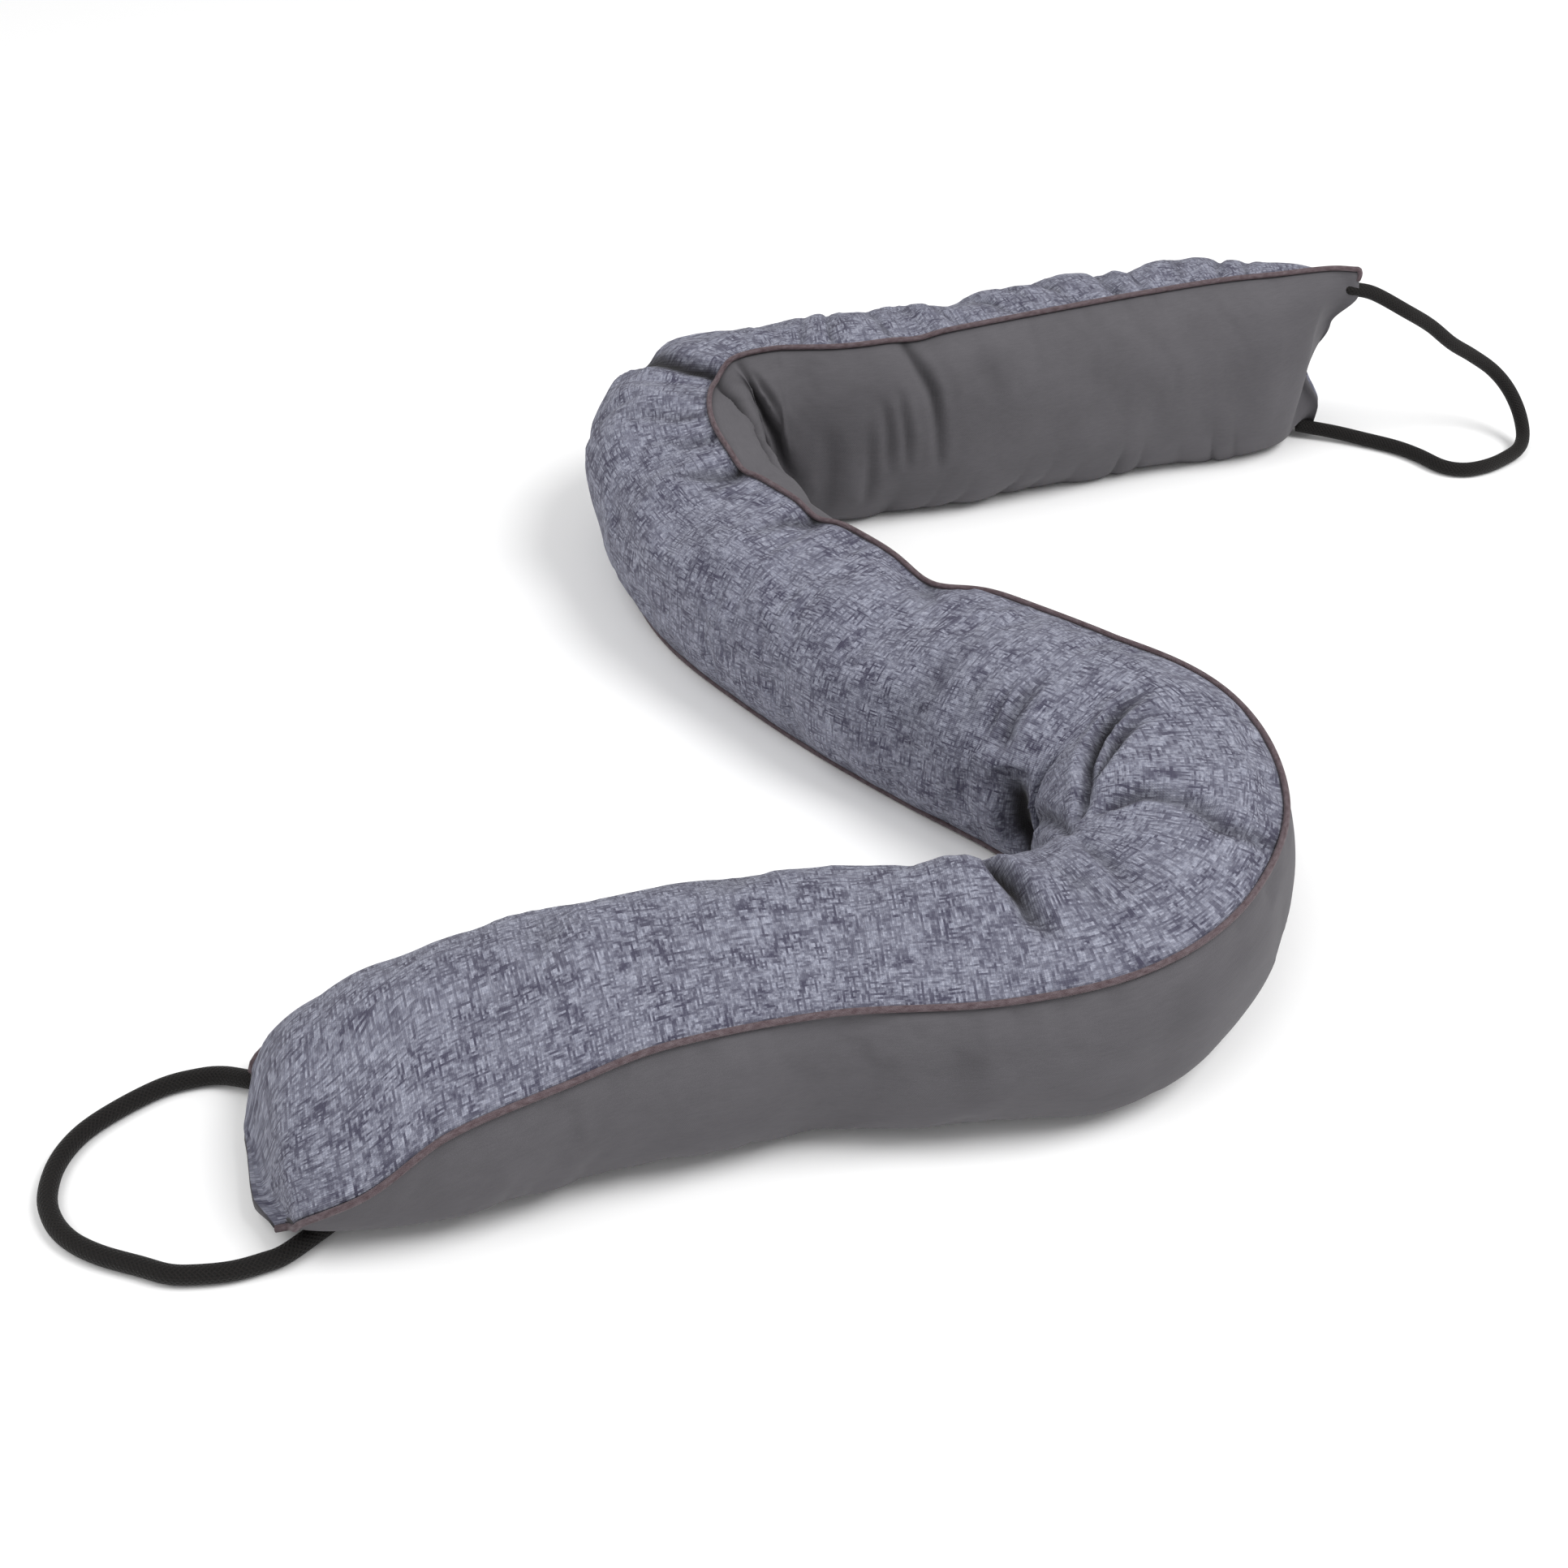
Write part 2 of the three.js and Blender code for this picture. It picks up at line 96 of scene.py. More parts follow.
def math_node(nodes, links, operation, a, b=None):
    node = nodes.new("ShaderNodeMath")
    node.operation = operation
    for socket, value in zip(node.inputs, (a, b)):
        if value is None:
            continue
        if isinstance(value, (int, float)):
            socket.default_value = value
        else:
            links.new(value, socket)
    return node.outputs[0]


def mix_color(nodes, links, blend, factor, a, b):
    node = nodes.new("ShaderNodeMix")
    node.data_type = "RGBA"
    node.blend_type = blend
    pairs = ((node.inputs[0], factor), (node.inputs[6], a), (node.inputs[7], b))
    for socket, value in pairs:
        if isinstance(value, (int, float)):
            socket.default_value = value
        elif isinstance(value, tuple):
            socket.default_value = (*value, 1)
        else:
            links.new(value, socket)
    return node.outputs[2]


def cloth_axes(nodes, links):
    """The cloth's own coordinates in millimetres: along and across the strip."""
    uv = nodes.new("ShaderNodeUVMap")
    uv.uv_map = "cloth"
    parts = nodes.new("ShaderNodeSeparateXYZ")
    links.new(uv.outputs[0], parts.inputs[0])
    along = math_node(nodes, links, "MULTIPLY", parts.outputs[0], 1000.0)
    across = math_node(nodes, links, "MULTIPLY", parts.outputs[1], 1000.0)
    return along, across


def grain(nodes, links, first, second, detail, offset):
    """Noise over two coordinates, its grains about one unit across."""
    join = nodes.new("ShaderNodeCombineXYZ")
    links.new(first, join.inputs[0])
    links.new(second, join.inputs[1])
    join.inputs[2].default_value = offset
    texture = nodes.new("ShaderNodeTexNoise")
    texture.inputs["Scale"].default_value = 1.0
    texture.inputs["Detail"].default_value = detail
    texture.inputs["Roughness"].default_value = 0.6
    links.new(join.outputs[0], texture.inputs["Vector"])
    return texture.outputs["Fac"]


def stretched_noise(nodes, links, along, across, grain_along, grain_across, detail, offset):
    """Noise with grains of the given size in millimetres."""
    first = math_node(nodes, links, "DIVIDE", along, grain_along)
    second = math_node(nodes, links, "DIVIDE", across, grain_across)
    return grain(nodes, links, first, second, detail, offset)


def thread_slubs(nodes, links, run, side, pitch, length, offset):
    """Noise that runs along each thread on its own: run along it, side across the threads."""
    row = math_node(nodes, links, "FLOOR", math_node(nodes, links, "DIVIDE", side, pitch))
    apart = math_node(nodes, links, "MULTIPLY", row, 7.31)
    return grain(nodes, links, math_node(nodes, links, "DIVIDE", run, length), apart, 3.0, offset)


def threads(nodes, links, value, pitch):
    """A row of rounded threads across a coordinate, from 0 to 1."""
    turn = math_node(nodes, links, "MULTIPLY", value, 2 * math.pi / pitch)
    wave = math_node(nodes, links, "SINE", turn)
    return math_node(nodes, links, "ADD", math_node(nodes, links, "MULTIPLY", wave, 0.5), 0.5)


def bump(nodes, links, shader, height, strength, distance):
    node = nodes.new("ShaderNodeBump")
    node.inputs["Strength"].default_value = strength
    node.inputs["Distance"].default_value = distance
    links.new(height, node.inputs["Height"])
    links.new(node.outputs[0], shader.inputs["Normal"])


def with_painted_crease_shade(nodes, links, color):
    """The colour with painted shade: nearly black at the bottom of folds and pucker valleys, and darker along
    the seams.
    """
    node = nodes.new("ShaderNodeAttribute")
    node.attribute_name = "crease"
    return mix_color(nodes, links, "MIX", node.outputs["Fac"], color, (0.012, 0.011, 0.013))


def melange_cloth():
    """Blue-grey melange with dark slubs along the threads, both ways."""
    material, nodes, links, shader = new_material("melange_cloth")
    along, across = cloth_axes(nodes, links)
    pitch = 0.66
    lengthwise = thread_slubs(nodes, links, along, across, pitch, 5, 3.1)
    crosswise = thread_slubs(nodes, links, across, along, pitch, 5, 17.4)
    patches = stretched_noise(nodes, links, along, across, 9.0, 7.0, 3.0, 41.7)
    flecks = stretched_noise(nodes, links, along, across, 0.9, 0.9, 1.0, 71.2)
    slub_a = ramp(nodes, links, lengthwise, [(0.42, 0), (0.60, 1)])
    slub_b = ramp(nodes, links, crosswise, [(0.42, 0), (0.60, 1)])
    patch = ramp(nodes, links, patches, [(0.34, 0.62), (0.62, 1)])
    both = math_node(nodes, links, "MAXIMUM", slub_a, slub_b)
    dark = math_node(nodes, links, "MULTIPLY", both, patch)
    light = ramp(nodes, links, flecks, [(0.36, 0.7), (0.62, 0)])
    ground = mix_color(nodes, links, "MIX", light, (0.27, 0.28, 0.35), (0.42, 0.43, 0.51))
    color = mix_color(nodes, links, "MIX", dark, ground, (0.066, 0.063, 0.098))
    weave = math_node(nodes, links, "MULTIPLY", threads(nodes, links, along, pitch),
                      threads(nodes, links, across, pitch))
    shade = math_node(nodes, links, "ADD", math_node(nodes, links, "MULTIPLY", weave, 0.2), 0.92)
    color = mix_color(nodes, links, "MULTIPLY", 1.0, color, shade)
    links.new(with_painted_crease_shade(nodes, links, color), shader.inputs["Base Color"])
    height = math_node(nodes, links, "ADD", weave, math_node(nodes, links, "MULTIPLY", dark, -0.3))
    bump(nodes, links, shader, height, 0.5, 0.0004)
    shader.inputs["Roughness"].default_value = 0.92
    shader.inputs["Specular IOR Level"].default_value = 0.2
    shader.inputs["Sheen Weight"].default_value = 0.08
    shader.inputs["Sheen Roughness"].default_value = 0.5
    return material


def plain_cloth():
    """Plain dark grey cloth, a close smooth weave."""
    material, nodes, links, shader = new_material("plain_cloth")
    along, across = cloth_axes(nodes, links)
    cloudy = stretched_noise(nodes, links, along, across, 34.0, 22.0, 3.0, 5.5)
    streaks = stretched_noise(nodes, links, along, across, 3.0, 0.5, 2.0, 11.5)
    tone = math_node(nodes, links, "ADD", math_node(nodes, links, "MULTIPLY", cloudy, 0.6),
                     math_node(nodes, links, "MULTIPLY", streaks, 0.4))
    color = ramp(nodes, links, tone, [(0.3, (0.088, 0.084, 0.092)), (0.7, (0.112, 0.107, 0.117))])
    links.new(with_painted_crease_shade(nodes, links, color), shader.inputs["Base Color"])
    twill = threads(nodes, links, math_node(nodes, links, "ADD", along, across), 0.7)
    bump(nodes, links, shader, math_node(nodes, links, "ADD", twill, streaks), 0.2, 0.00015)
    shader.inputs["Roughness"].default_value = 0.8
    shader.inputs["Specular IOR Level"].default_value = 0.25
    shader.inputs["Sheen Weight"].default_value = 0.06
    shader.inputs["Sheen Roughness"].default_value = 0.4
    return material


def piping_cloth():
    """Mauve-brown bias cloth, its threads running aslant round the piping."""
    material, nodes, links, shader = new_material("piping_cloth")
    along, across = cloth_axes(nodes, links)
    mottle = stretched_noise(nodes, links, along, across, 2.6, 1.2, 3.0, 23.0)
    stops = [(0.32, (0.068, 0.042, 0.048)), (0.52, (0.108, 0.077, 0.086)), (0.72, (0.145, 0.112, 0.122))]
    color = ramp(nodes, links, mottle, stops)
    links.new(color, shader.inputs["Base Color"])
    aslant = math_node(nodes, links, "ADD", along, across)
    counter = math_node(nodes, links, "SUBTRACT", along, across)
    weave = math_node(nodes, links, "MULTIPLY", threads(nodes, links, aslant, 0.8),
                      threads(nodes, links, counter, 0.8))
    bump(nodes, links, shader, weave, 0.5, 0.0003)
    shader.inputs["Roughness"].default_value = 0.7
    shader.inputs["Specular IOR Level"].default_value = 0.3
    shader.inputs["Sheen Weight"].default_value = 0.08
    return material


def elastic_cord():
    """Matt black elastic with a fine braid."""
    material, nodes, links, shader = new_material("elastic_cord")
    along, across = cloth_axes(nodes, links)
    aslant = math_node(nodes, links, "ADD", along, across)
    counter = math_node(nodes, links, "SUBTRACT", along, across)
    braid = math_node(nodes, links, "MAXIMUM", threads(nodes, links, aslant, 1.57),
                      threads(nodes, links, counter, 1.57))
    speckle = stretched_noise(nodes, links, along, across, 0.8, 0.8, 2.0, 8.0)
    tone = math_node(nodes, links, "MULTIPLY", braid, speckle)
    color = ramp(nodes, links, tone, [(0.15, (0.002, 0.0016, 0.0015)), (0.75, (0.011, 0.0085, 0.0075))])
    links.new(color, shader.inputs["Base Color"])
    bump(nodes, links, shader, braid, 0.8, 0.0004)
    shader.inputs["Roughness"].default_value = 0.68
    shader.inputs["Specular IOR Level"].default_value = 0.25
    shader.inputs["Sheen Weight"].default_value = 0.04
    return material


MATERIALS = {
    "patterned_cloth": melange_cloth(),
    "plain_cloth": plain_cloth(),
    "piping_cloth": piping_cloth(),
    "elastic_cord": elastic_cord(),
}


# Meshes
def mesh_object(name, points, faces, uvs, slot):
    """A mesh piece from points in metres, faces, and a cloth coordinate for each face corner."""
    mesh = bpy.data.meshes.new(name)
    mesh.from_pydata([tuple(p) for p in points], [], faces)
    layer = mesh.uv_layers.new(name="cloth")
    layer.data.foreach_set("uv", [c for corner in uvs for c in corner])
    mesh.polygons.foreach_set("use_smooth", [True] * len(mesh.polygons))
    mesh.materials.append(MATERIALS[slot])
    mesh.update()
    piece = bpy.data.objects.new(name, mesh)
    bpy.context.scene.collection.objects.link(piece)
    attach(piece, "root")
    return piece


TIP_BULGE = 0.35


def tube(name, centres, radius, sides, slot):
    """A round tube along centre points in metres, with rounded-off ends."""
    centres = [Vector(c) for c in centres]
    count = len(centres)
    tangents = []
    for i in range(count):
        ahead, behind = centres[min(i + 1, count - 1)], centres[max(i - 1, 0)]
        tangents.append((ahead - behind).normalized())
    side = tangents[0].orthogonal().normalized()
    length = 0.0
    points, lengths = [], []
    for i in range(count):
        if i:
            length += (centres[i] - centres[i - 1]).length
            side = (side - side.dot(tangents[i]) * tangents[i]).normalized()
        other = tangents[i].cross(side)
        lengths.append(length)
        for k in range(sides):
            angle = 2 * math.pi * k / sides
            points.append(centres[i] + radius * (math.cos(angle) * side + math.sin(angle) * other))
    faces, uvs = [], []
    around = 2 * math.pi * radius
    for i in range(count - 1):
        for k in range(sides):
            a, b = i * sides + k, i * sides + (k + 1) % sides
            faces.append((a, b, b + sides, a + sides))
            u0, u1 = lengths[i], lengths[i + 1]
            v0, v1 = around * k / sides, around * (k + 1) / sides
            uvs += [(u0, v0), (u0, v1), (u1, v1), (u1, v0)]
    for end, sign in ((0, -1), (count - 1, 1)):
        tip = len(points)
        points.append(centres[end] + tangents[end] * radius * TIP_BULGE * sign)
        for k in range(sides):
            a, b = end * sides + k, end * sides + (k + 1) % sides
            faces.append((b, a, tip) if sign < 0 else (a, b, tip))
            uvs += [(lengths[end], 0.0)] * 3
    return mesh_object(name, points, faces, uvs, slot)


def catmull(before, a, b, after, share):
    slope_a, slope_b, rise = (b - before) / 2, (after - a) / 2, b - a
    square = 3 * rise - 2 * slope_a - slope_b
    cube = slope_a + slope_b - 2 * rise
    return a + share * (slope_a + share * (square + share * cube))


def smooth_line(route, step):
    """Points every step along a smooth curve through a route, in metres."""
    route = [np.array(p, float) for p in route]
    fine = []
    last = len(route) - 1
    for i in range(last):
        before, a, b, after = route[max(i - 1, 0)], route[i], route[i + 1], route[min(i + 2, last)]
        for share in np.linspace(0, 1, 24, endpoint=False):
            fine.append(catmull(before, a, b, after, share))
    fine.append(route[-1])
    fine = np.array(fine)
    lengths = np.concatenate([[0], np.cumsum(np.linalg.norm(np.diff(fine, axis=0), axis=1))])
    count = max(int(round(lengths[-1] / step)), 2)
    places = np.linspace(0, lengths[-1], count + 1)
    return np.stack([np.interp(places, lengths, fine[:, k]) for k in range(3)], 1), lengths[-1]


# Elastic loops: x, y, z of the cord's middle line. Both ends go on a little way into the body's corners.
CORD_DIAMETER = 6.0
CORD_STEP = 1.5
CORD_SIDES = 16
NEAR_LOOP = [
    (-171.1, -245.1, 3.6), (-173.2, -247.2, 3.4), (-182.5, -256.5, 3.2), (-188.5, -259.7, 3.2),
    (-197, -262.7, 3.2), (-207, -264, 3.2), (-215, -263.8, 3.2), (-224, -261, 3.2), (-236.5, -257, 3.2),
    (-246, -252, 3.2), (-253, -245, 3.2), (-257.3, -235.5, 3.2), (-257.6, -223, 3.2), (-253.3, -211.5, 3.2),
    (-244.6, -201.5, 3.2), (-232.5, -192, 3.2), (-222, -188, 3.2), (-214, -187.8, 3.9), (-204.1, -191.5, 5.9),
    (-200.9, -192.7, 6.5),
]
FAR_LOOP = [
    (202, 200.2, 77), (206, 199.2, 76.3), (216, 200.3, 73.5), (232, 201.2, 64.5), (244.5, 204.5, 56),
    (256.5, 207, 46), (268, 210.5, 38), (279, 212, 30), (287, 210, 22), (292, 204, 14), (293.5, 196, 7),
    (290.5, 188.5, 4), (283, 181.5, 3.2), (272.5, 174.5, 3.2), (262, 171.5, 3.2), (253, 174.2, 3.2),
    (244.5, 183.5, 3.2), (236, 190.5, 3.2), (223, 197, 3.4), (211, 201.5, 4.2), (200.7, 204.2, 4.9),
    (194, 205.6, 5.6),
]


def make_loop(name, route):
    centres, length = smooth_line([at_home(p) for p in route], CORD_STEP * MM)
    piece = tube(name, centres, CORD_DIAMETER * MM / 2, CORD_SIDES, "elastic_cord")
    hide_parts(name.replace("elastic_", ""))
    return piece


make_loop("elastic_loop_near", NEAR_LOOP)
make_loop("elastic_loop_far", FAR_LOOP)

# The filled body
# x, y, left, right, tall, waist, upper seam, lower seam, full: the solids' sections, but for the second to
# the fifth, which are a little closer to the photograph.
SECTIONS = np.array([
    (-196, -222, 28, 29, 18, 9, 0, 182, 0.03),
    (-188, -219, 38, 36, 42, 16, -1, 188, 0.7),
    (-170, -215, 40, 43, 49.5, 20, 12, 198, 0.9),
    (-146, -208, 41.5, 46, 55, 24, 32, 208, 1),
    (-113, -199, 43.5, 43, 60, 27, 37, 218, 1),
    (-79, -190, 44, 42, 61, 29, 45, 221, 1),
    (-29, -180, 43, 39, 61, 29, 46, 222, 1),
    (21, -175, 44, 42, 61, 29, 48, 222, 1),
    (55, -168, 44, 40, 63, 30, 48, 221, 1),
    (79, -149, 42, 36, 66, 31, 43, 219, 1),
    (88, -116, 42, 41, 68, 32, 38, 221, 1),
    (82, -79, 42, 42, 67, 32, 38, 224, 1),
    (56, -53, 42, 40, 65, 31, 40, 227, 1),
    (26, -28, 42, 38, 63, 30, 45, 228, 1),
    (-6, -1, 40, 34, 62, 30, 56, 229, 1),
    (-36, 30, 39, 35, 64, 31, 69, 229, 1),
    (-58, 58, 39, 36, 66, 32, 79, 229, 1),
    (-70, 87, 40, 34, 69, 33, 84, 229, 1),
    (-74, 113, 41, 29, 73, 36, 82, 229, 1),
    (-68, 138, 44, 28, 77, 40, 76, 229, 1),
    (-46, 150, 39, 30, 80, 42, 72, 229, 1),
    (-13, 153, 35, 30, 82, 42, 68, 229, 1),
    (22, 161, 34, 30, 83, 42, 70, 230, 1),
    (62, 173, 34, 30, 84, 42, 72, 230, 1),
    (104, 188, 34, 30, 85, 42, 71, 230, 1),
    (142, 199, 32, 30, 86, 42, 71, 230, 1),
    (172, 203, 24, 28, 85, 42, 75, 230, 0.96),
    (192, 203, 14, 21, 84, 42, 81, 230, 0.78),
    (203, 200, 7, 9, 83, 42, 88, 230, 0.04),
], float)
NEAR_EDGE = [(0, 1), (0.2, 5), (0.6, 3), (1, -5)]
FAR_EDGE = [(0, 4), (0.13, 6), (0.32, -4), (0.6, -14), (0.84, -3), (1, -4)]

# Folds: the half-width of each, and its route as (along, across the strip, depth).
PATTERNED_FOLDS = [
    (4.6, [(230, 0.58, 3), (232, 0.46, 7.5), (235, 0.34, 7.5), (238, 0.24, 5), (244, 0.15, 0)]),
    (9, [(214, 0.52, -0.5), (219, 0.42, -2), (226, 0.22, -1)]),
    (3.6, [(367, 0.24, 0), (364, 0.30, 4.5), (358, 0.363, 6.5), (350, 0.413, 6.5), (334, 0.475, 5.5),
           (320, 0.5, 4.5), (302, 0.52, 2)]),
    (2.6, [(357, 0.27, 0), (350, 0.338, 4.5), (344, 0.375, 5.5), (338, 0.4, 5), (330, 0.438, 4),
           (322, 0.47, 0)]),
    (4.2, [(300, 0.47, 0), (309, 0.4, 3.8), (314, 0.338, 4), (312, 0.27, 3.2), (304, 0.188, 3.8),
           (304, 0.1, 3.2), (306, 0.01, 2.4)]),
    (11, [(328, 0.38, -1.5), (328, 0.15, -2.5)]),
    (4, [(277, 0.47, 0), (274, 0.39, 2.2), (272, 0.3, 2.2), (267, 0.21, 0)]),
    (8.5, [(390, 0.62, 0), (384, 0.73, 7), (379, 0.84, 11), (373, 0.93, 9)]),
    (4.5, [(352, 0.8, 3), (330, 0.7, 3.5), (306, 0.6, 3), (278, 0.5, 1)]),
    (3.2, [(397, 0.29, 0), (396, 0.4, 3.2), (394, 0.53, 3.2), (396, 0.61, 0)]),
    (2.4, [(404, 0.33, 0), (402, 0.42, 1.7), (401, 0.52, 1.6), (401, 0.58, 0)]),
    (6, [(411, 0.32, 0), (413, 0.44, 1.6), (414, 0.6, 0.6)]),
    (8, [(427, 0.28, 0.4), (430, 0.46, 1.9), (432, 0.68, 0.6)]),
    (4.4, [(645, 0.62, 0), (643, 0.52, 3), (641, 0.42, 5.5), (639, 0.3, 6.5), (637, 0.17, 7), (635, 0.06, 7),
           (633, 0, 5)]),
    (4.2, [(566, 0, 5), (570, 0.1, 3.4), (575, 0.22, 0)]),
    (4.2, [(524, 0, 5), (528, 0.1, 3.2), (531, 0.22, 0)]),
    (5.5, [(468, 0, 3), (463, 0.12, 2), (456, 0.25, 0)]),
    (5.5, [(603, 0.05, 2), (607, 0.16, 1.8), (613, 0.36, 0)]),
    (4.5, [(588, 0.02, 1.8), (592, 0.12, 1.4), (596, 0.24, 0)]),
    (6, [(292, 0.6, 0), (280, 0.68, 1.6), (268, 0.72, 0)]),
    (6, [(252, 0.38, 0), (257, 0.28, 1.6), (263, 0.18, 0)]),
    (8, [(212, 0.64, 0), (207, 0.52, 1.2), (203, 0.4, 0)]),
    (9, [(150, 0.36, 0), (154, 0.5, 1.1), (158, 0.64, 0)]),
    (9, [(97, 0.54, 0), (94, 0.4, 1.1), (91, 0.26, 0)]),
    (9, [(669, 0.26, 0.5), (666, 0.4, 1.4), (662, 0.54, 0)]),
]
PLAIN_FOLDS = [
    (3, [(721, 0, 3), (724, 0.05, 4.2), (727, 0.13, 4.4), (731, 0.23, 4), (733, 0.34, 2.4), (734, 0.42, 0)]),
    (8, [(717, 0.06, -0.6), (722, 0.32, -1.2)]),
    (2.6, [(709, 0.2, 0), (712, 0.27, 1.5), (713, 0.35, 1.5), (713, 0.41, 0)]),
    (2.6, [(717, 0.17, 0), (718, 0.26, 1.6), (720, 0.34, 1.8), (721, 0.41, 0)]),
    (3.2, [(704, 0.27, 0), (706, 0.36, 1.6), (706, 0.45, 1.5), (705, 0.53, 0)]),
    (3, [(700, 0.29, 0), (702, 0.36, 0.8), (703, 0.45, 0)]),
    (5, [(692, 0.28, 0), (693, 0.38, 1.6), (692, 0.5, 1), (691, 0.57, 0)]),
    (4, [(648, 0.03, 3), (652, 0.17, 5.5), (660, 0.27, 6), (667, 0.345, 5), (679, 0.41, 1)]),
    (2.5, [(653, 0.05, 0), (658, 0.138, 3.2), (662, 0.188, 3.2), (668, 0.28, 1)]),
    (4.5, [(630, 0, 4.5), (624, 0.075, 6.5), (617, 0.14, 7), (610, 0.21, 6), (598, 0.2, 4.5),
           (570, 0.19, 0.5)]),
    (7, [(752, 0.08, 0), (755, 0.18, 1.1), (758, 0.3, 0)]),
    (8, [(300, 0.08, 0), (303, 0.2, 1), (305, 0.34, 0)]),
    (8, [(269, 0.06, 0), (265, 0.18, 1), (261, 0.3, 0)]),
    (8, [(209, 0.08, 0), (212, 0.18, 0.9), (215, 0.3, 0)]),
]
# Puckers along the seams: from, until, across, spread, pitch, depth.
PATTERNED_PUCKERS = [
    (655, 895, 0.14, 0.18, 17, 5), (655, 895, 0.05, 0.07, 8.5, 1.2), (660, 850, 0.22, 0.16, 33, 2),
    (480, 650, 0.04, 0.1, 31, 3), (480, 650, 0.03, 0.07, 14, 1.6), (40, 470, 0.02, 0.05, 13, 0.9),
    (380, 600, 0.94, 0.13, 21, 2), (20, 330, 0.96, 0.1, 17, 1.2),
]
PLAIN_PUCKERS = [
    (50, 330, 0.56, 0.12, 17, 2.2), (700, 890, 0.6, 0.11, 17, 2), (50, 600, 0.02, 0.05, 15, 0.6),
    (690, 900, 0.02, 0.05, 19, 0.7),
]
# Places where the upper seam is drawn in: along, depth, half-length, over this many degrees.
SEAM_DIPS = [(468, 5, 15), (524, 3, 8), (566, 2.5, 8), (629, 3.5, 8), (727, 2, 8)]
DIP_SPREAD = 24.0
# The filling's unevenness: wavelength, its direction in degrees from along the strip, start, height.
SWELLS = [
    (61, 12, 0.4, 0.5), (43, -37, 2.1, 0.4), (83, 64, 1.2, 0.5), (29, 71, 4.0, 0.22), (23, -14, 5.2, 0.18),
]

# Fullness beyond the outline: place along, half-length, place across, spread, height.
PATTERNED_BULGES = [(614, 16, 0.48, 0.26, 5.5), (662, 19, 0.36, 0.3, -3)]
PLAIN_BULGES = [(285, 45, 0.36, 0.26, 3.5)]

# How deep a fold has to be for its painted shade to go black at its bottom, how wide that painted shade is,
# and how dark the painted shade along the seams is and over which width.
PAINTED_SHADE_DEPTH = 6.5
PAINTED_SHADE_WIDTH = 0.66
SEAM_PAINTED_SHADE = 0.45
SEAM_PAINTED_SHADE_WIDTH = 1.2

# Cloth simulation: one simulated point for this many rings and steps, its frames, how much larger the cloth
# is than its filling, over how many simulated points to each side its even swelling is measured, how far a
# point may move, and how much of that each cloth takes from place to place along it. It takes none of that
# below the first of the last two heights, and all of it above the second.
SIM_SPACING = 3
SIM_FRAMES = 20
CLOTH_SLACK = 0.05
SIM_EVEN = 9
SIM_CAP = 2.5
PATTERNED_EASE = [(15, 0), (60, 0.25), (230, 0.35), (290, 0.8), (640, 0.8), (840, 0.7), (905, 0)]
PLAIN_EASE = [(15, 0), (60, 0.35), (330, 0.45), (640, 0.4), (700, 0.22), (860, 0.22), (905, 0)]
FLOOR_HELD = 1.5
FLOOR_EASE = 14.0

# The mesh's rings along the body, its steps across a cloth side and a parting side, and the angle to each
# side over which the outline's slope is taken.
RING_PITCH = 1.35
PANEL_STEPS = 84
BACK_STEPS = 10
SLOPE_DEGREES = 2
# The gap between the panels, the strips' width, and how far the plain cloth's ends stand past the other's.
GAP = 0.3
STRIP_WIDTH = 120.0
PLAIN_OVERHANG = 0.5
# The sewn ends' thickness, the outline's shape, how far the body sinks into the floor before it is pressed
# flat, the seams' ridge, and the room inside a bend.
EDGE_THICKNESS = 2.4
SQUARENESS = 2.55
FLOOR_SINK = 3.5
SEAM_RIDGE = 2.2
SEAM_RIDGE_SPREAD = 9.0
BEND_ROOM = 0.86
BEND_SOFTNESS = 6
TURN_SPAN = 14.0
# Piping: its size, how far each one's middle stands off its seam, and the turn down at the far corner as
# steps outward and down.
PIPING_SIDES = 12
PIPING_RADIUS = 1.1
UPPER_REACH = 0.8
LOWER_REACH = 0.2
PIPING_TURN = [(0.8, 0.4), (1.3, 1.6), (1.3, 3.2), (0.9, 5.0)]


def section_at(place):
    last = len(SECTIONS) - 1
    first = min(int(place), last - 1)
    rows = [SECTIONS[min(max(first + step, 0), last)] for step in (-1, 0, 1, 2)]
    return catmull(*rows, place - first)


def body_rings(pitch):
    """Sections at an even pitch, with their place along the body, heading and turn."""
    parts = 40
    places = np.arange(0, parts * (len(SECTIONS) - 1) + 1) / parts
    fine = np.array([section_at(p) for p in places])
    along = np.concatenate([[0], np.cumsum(np.hypot(*np.diff(fine[:, :2], axis=0).T))])
    count = int(round(along[-1] / pitch))
    steps = np.linspace(0, along[-1], count + 1)
    at = np.interp(steps, along, places)
    rings = np.array([section_at(p) for p in at])
    ahead = np.array([section_at(min(p + 1 / parts, places[-1])) for p in at])
    behind = np.array([section_at(max(p - 1 / parts, 0)) for p in at])
    heading = np.arctan2(ahead[:, 1] - behind[:, 1], ahead[:, 0] - behind[:, 0])
    low = np.clip(steps - TURN_SPAN, 0, steps[-1])
    high = np.clip(steps + TURN_SPAN, 0, steps[-1])
    turn = (np.interp(high, steps, heading) - np.interp(low, steps, heading)) / (high - low)
    return rings, steps, heading, turn


RINGS, ALONG, HEADING, TURN = body_rings(RING_PITCH)
X, Y, LEFT, RIGHT, TALL, WAIST, UPPER, LOWER, FULL = (column[:, None] for column in RINGS.T)
ALONG_C, TURN_C = ALONG[:, None], TURN[:, None]
SEAM_DIP = sum(deep * np.exp(-((ALONG_C - at) / wide) ** 2) for at, deep, wide in SEAM_DIPS)


